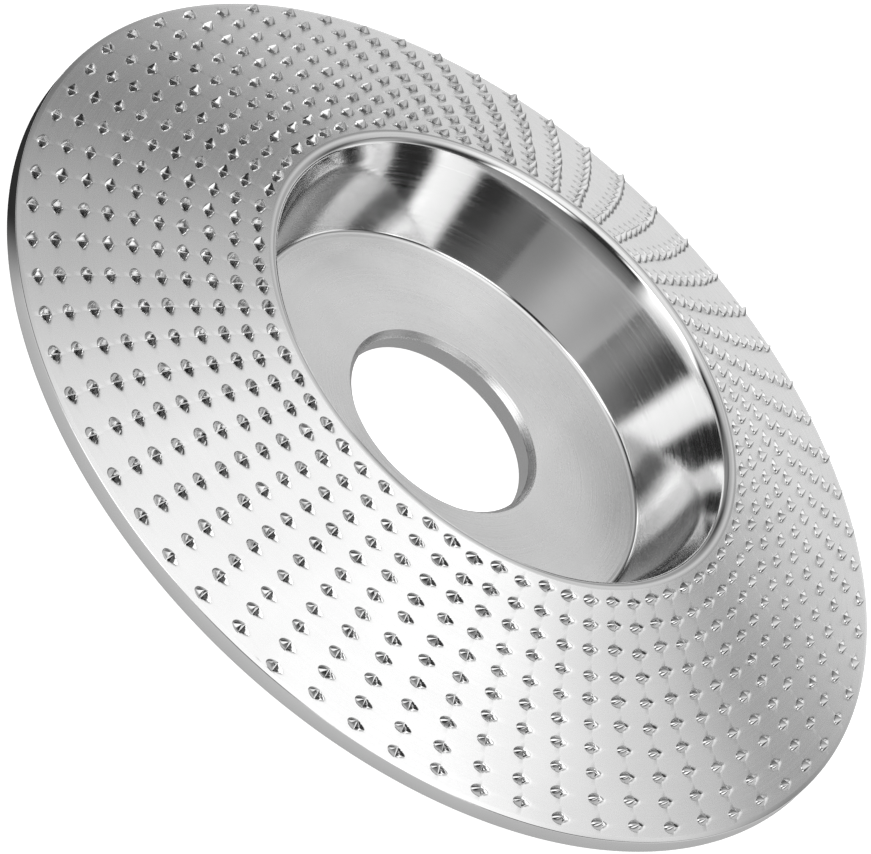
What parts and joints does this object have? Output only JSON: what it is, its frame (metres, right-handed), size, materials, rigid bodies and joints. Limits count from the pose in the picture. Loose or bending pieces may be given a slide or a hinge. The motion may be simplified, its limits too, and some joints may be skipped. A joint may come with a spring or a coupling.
{
  "type": "angle grinder carving disc",
  "caption": "Dished steel woodcarving disc with a conical plate of raised rasp teeth, a recessed hub cup and a round arbor bore.",
  "frame": {"origin": "on the arbor bore's axis, at the hub's back face, which sits on the grinder's flange", "axes": "+Z along the bore axis towards the toothed side; +X and +Y are radial, with no preferred direction, because the disc is round"},
  "size_m": [0.107, 0.107, 0.0147],
  "materials": {
    "satin_steel": "fine satin, lightly brushed",
    "polished_steel": "mirror polished",
    "turned_steel": "satin with fine concentric turning marks",
    "tooth_steel": "bright, raised by a punch"
  },
  "bodies": {
    "root": {"hub_web": "turned_steel", "cup_wall": "polished_steel", "mouth_lip": "polished_steel", "carving_plate": "satin_steel", "rim": "satin_steel", "tooth_ring_01": "tooth_steel", "tooth_ring_02": "tooth_steel", "tooth_ring_03": "tooth_steel", "tooth_ring_04": "tooth_steel", "tooth_ring_05": "tooth_steel", "tooth_ring_06": "tooth_steel", "tooth_ring_07": "tooth_steel", "tooth_ring_08": "tooth_steel", "tooth_ring_09": "tooth_steel", "tooth_ring_10": "tooth_steel"}
  },
  "joints": []
}
